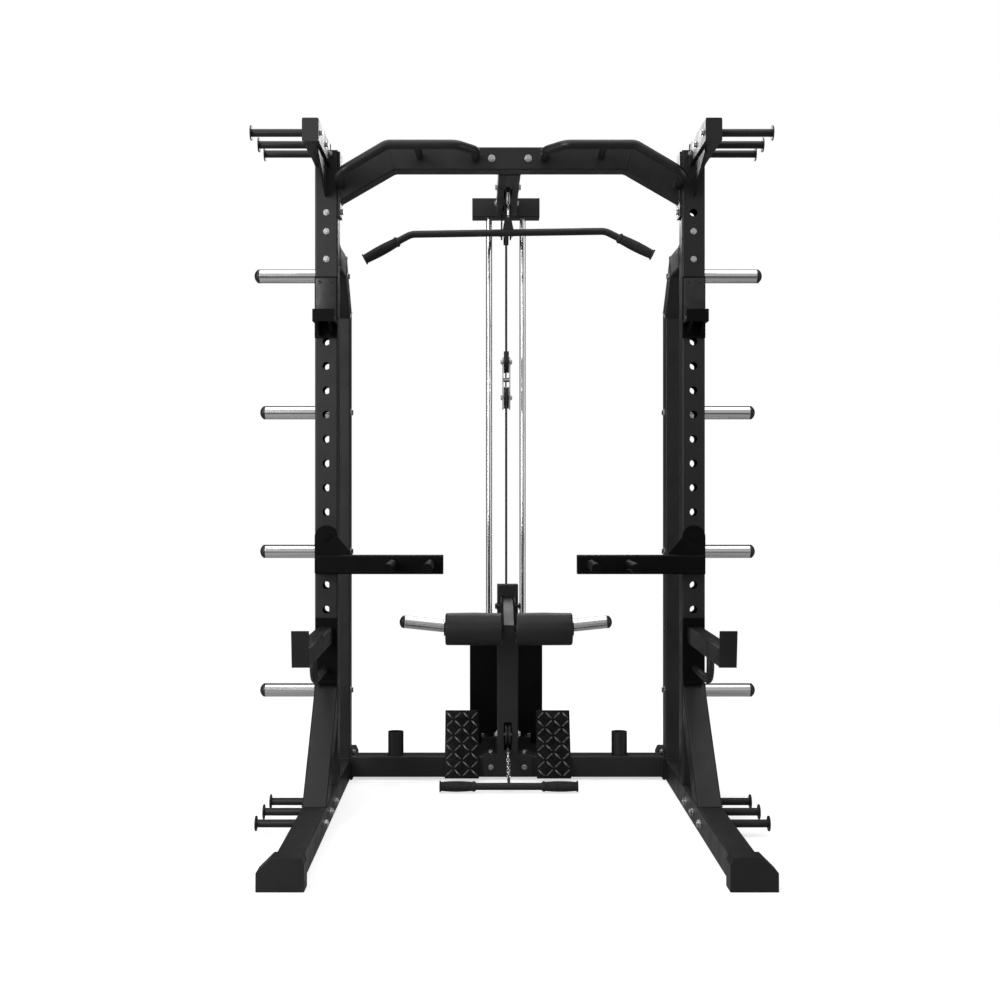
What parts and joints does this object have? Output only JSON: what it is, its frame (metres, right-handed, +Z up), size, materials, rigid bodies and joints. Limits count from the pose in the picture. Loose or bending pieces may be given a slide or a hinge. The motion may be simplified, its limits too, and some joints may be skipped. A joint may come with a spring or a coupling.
{
  "type": "power cage",
  "caption": "Black steel power cage with a plate-loaded cable tower, lat bar, low-row bar, J-cups, dip arms, spotter arms and chrome plate storage pegs.",
  "frame": {"origin": "on the floor at the centre of the footprint, bounding box bottom centre", "axes": "+X to the user's right when facing the cage from the front, +Y from the open front to the tower, +Z up"},
  "size_m": [1.784, 1.844, 2.174],
  "materials": {
    "black_coat": "satin",
    "chrome": "polished",
    "steel": "satin",
    "black_plastic": "satin",
    "rubber": "matte",
    "cable": "satin",
    "foam": "matte",
    "tread_plate": "gloss"
  },
  "bodies": {
    "root": {"upright_left": "black_coat", "upright_right": "black_coat", "top_arm_left": "black_coat", "top_arm_right": "black_coat", "floor_rail_left": "black_coat", "floor_rail_right": "black_coat", "front_brace_left": "black_coat", "front_brace_right": "black_coat", "rear_frame_left": "black_coat", "rear_frame_right": "black_coat", "plate_pegs": "chrome", "peg_caps": "black_plastic", "band_pegs": "black_coat", "top_crossmember": "black_coat", "pullup_handles": "black_coat", "base_crossbeam": "black_coat", "bar_holders": "black_coat", "tower_column": "black_coat", "tower_base": "black_coat", "top_beam": "black_coat", "guard_panel": "black_coat", "guide_rods": "chrome", "carriage_stops": "rubber", "foot_plates": "tread_plate", "foot_plate_brackets": "black_coat", "knee_bracket": "black_coat", "frame_bolts": "steel", "pulley_axles": "steel", "fixed_cables": "cable"},
    "carriage": {"carriage": "black_coat", "carriage_bushings": "black_plastic", "carriage_horns": "chrome", "carriage_cable": "cable"},
    "lat_cable_end": {"lat_swivel": "steel", "lat_bar_cable": "cable"},
    "lat_bar": {"lat_hook": "steel", "lat_bar": "black_coat", "lat_grips": "rubber"},
    "low_bar": {"low_bar": "black_coat", "low_grips": "rubber", "low_chain": "chrome", "low_bar_cable": "cable"},
    "pulley_block": {"block_plates": "steel", "block_cables": "cable"},
    "block_upper_pulley": {"block_upper_pulley": "black_plastic"},
    "block_lower_pulley": {"block_lower_pulley": "black_plastic"},
    "top_front_pulley": {"top_front_pulley": "black_plastic"},
    "top_middle_pulley": {"top_middle_pulley": "black_plastic"},
    "hung_pulley": {"hung_pulley": "black_plastic"},
    "base_pulley": {"base_pulley": "black_plastic"},
    "low_pulley": {"low_pulley": "black_plastic"},
    "knee_arm": {"knee_arm": "black_coat"},
    "knee_roller_left": {"knee_roller_left": "foam"},
    "knee_roller_right": {"knee_roller_right": "foam"},
    "jcup_left": {"jcup_left": "black_coat"},
    "jcup_right": {"jcup_right": "black_coat"},
    "dip_arm_left": {"dip_arm_left": "black_coat"},
    "dip_arm_right": {"dip_arm_right": "black_coat"},
    "spotter_arm_left": {"spotter_arm_left": "black_coat"},
    "spotter_arm_right": {"spotter_arm_right": "black_coat"}
  },
  "joints": [
    {"name": "carriage_lift", "type": "slide", "parent": "root", "child": "carriage", "axis": [0, 0, 1], "range_m": [0, 1.05], "deforming": ["carriage_cable"]},
    {"name": "lat_bar_pull", "type": "slide", "parent": "root", "child": "lat_cable_end", "axis": [0, 0, -1], "range_m": [0, 1.05], "deforming": ["lat_bar_cable"]},
    {"name": "lat_bar_swivel", "type": "hinge", "parent": "lat_cable_end", "child": "lat_bar", "pos_m": [0, 0.361, 2.045], "axis": [0, 0, 1], "range_deg": [-35, 35]},
    {"name": "low_bar_pull", "type": "slide", "parent": "root", "child": "low_bar", "axis": [0, -0.9781, 0.208], "range_m": [0, 0.9], "stiffness_N_per_m": 20, "springref_m": -1, "deforming": ["low_bar_cable"]},
    {"name": "block_drop", "type": "slide", "parent": "root", "child": "pulley_block", "axis": [0, 0, -1], "range_m": [0, 0.45], "deforming": ["block_cables"]},
    {"name": "top_front_pulley_spin", "type": "hinge", "parent": "root", "child": "top_front_pulley", "pos_m": [0, 0.399, 2.11], "axis": [1, 0, 0], "continuous": true},
    {"name": "top_middle_pulley_spin", "type": "hinge", "parent": "root", "child": "top_middle_pulley", "pos_m": [0, 0.674, 2.11], "axis": [1, 0, 0], "continuous": true},
    {"name": "hung_pulley_spin", "type": "hinge", "parent": "root", "child": "hung_pulley", "pos_m": [0, 0.826, 2.021], "axis": [1, 0, 0], "continuous": true},
    {"name": "block_upper_pulley_spin", "type": "hinge", "parent": "pulley_block", "child": "block_upper_pulley", "pos_m": [0, 0.75, 1.523], "axis": [1, 0, 0], "continuous": true},
    {"name": "block_lower_pulley_spin", "type": "hinge", "parent": "pulley_block", "child": "block_lower_pulley", "pos_m": [0, 0.75, 1.388], "axis": [1, 0, 0], "continuous": true},
    {"name": "base_pulley_spin", "type": "hinge", "parent": "root", "child": "base_pulley", "pos_m": [0, 0.674, 0.16], "axis": [1, 0, 0], "continuous": true},
    {"name": "low_pulley_spin", "type": "hinge", "parent": "root", "child": "low_pulley", "pos_m": [0, 0.479, 0.16], "axis": [1, 0, 0], "continuous": true},
    {"name": "knee_arm_lift", "type": "hinge", "parent": "root", "child": "knee_arm", "pos_m": [0, 0.419, 0.626], "axis": [-1, 0, 0], "range_deg": [0, 35]},
    {"name": "knee_roller_left_spin", "type": "hinge", "parent": "knee_arm", "child": "knee_roller_left", "pos_m": [-0.12, 0.239, 0.563], "axis": [1, 0, 0], "continuous": true},
    {"name": "knee_roller_right_spin", "type": "hinge", "parent": "knee_arm", "child": "knee_roller_right", "pos_m": [0.12, 0.239, 0.563], "axis": [1, 0, 0], "continuous": true},
    {"name": "jcup_left_pull", "type": "slide", "parent": "root", "child": "jcup_left", "axis": [0, -1, 0], "range_m": [0, 0.1]},
    {"name": "dip_arm_left_pull", "type": "slide", "parent": "root", "child": "dip_arm_left", "axis": [0, -1, 0], "range_m": [0, 0.1]},
    {"name": "spotter_arm_left_pull", "type": "slide", "parent": "root", "child": "spotter_arm_left", "axis": [0, -1, 0], "range_m": [0, 0.1]},
    {"name": "jcup_right_pull", "type": "slide", "parent": "root", "child": "jcup_right", "axis": [0, -1, 0], "range_m": [0, 0.1]},
    {"name": "dip_arm_right_pull", "type": "slide", "parent": "root", "child": "dip_arm_right", "axis": [0, -1, 0], "range_m": [0, 0.1]},
    {"name": "spotter_arm_right_pull", "type": "slide", "parent": "root", "child": "spotter_arm_right", "axis": [0, -1, 0], "range_m": [0, 0.1]}
  ],
  "couplings": [
    {"joint": "lat_bar_pull", "follows": "carriage_lift", "ratio": 1},
    {"joint": "top_front_pulley_spin", "follows": "carriage_lift", "rad_per_m": 26.316},
    {"joint": "top_middle_pulley_spin", "follows": "carriage_lift", "rad_per_m": 26.316},
    {"joint": "hung_pulley_spin", "follows": "carriage_lift", "rad_per_m": 26.316},
    {"joint": "block_upper_pulley_spin", "follows": "carriage_lift", "rad_per_m": -26.316},
    {"joint": "block_drop", "follows": "low_bar_pull", "ratio": 0.5},
    {"joint": "block_lower_pulley_spin", "follows": "low_bar_pull", "rad_per_m": 13.158},
    {"joint": "base_pulley_spin", "follows": "low_bar_pull", "rad_per_m": -26.316},
    {"joint": "low_pulley_spin", "follows": "low_bar_pull", "rad_per_m": -26.316}
  ]
}
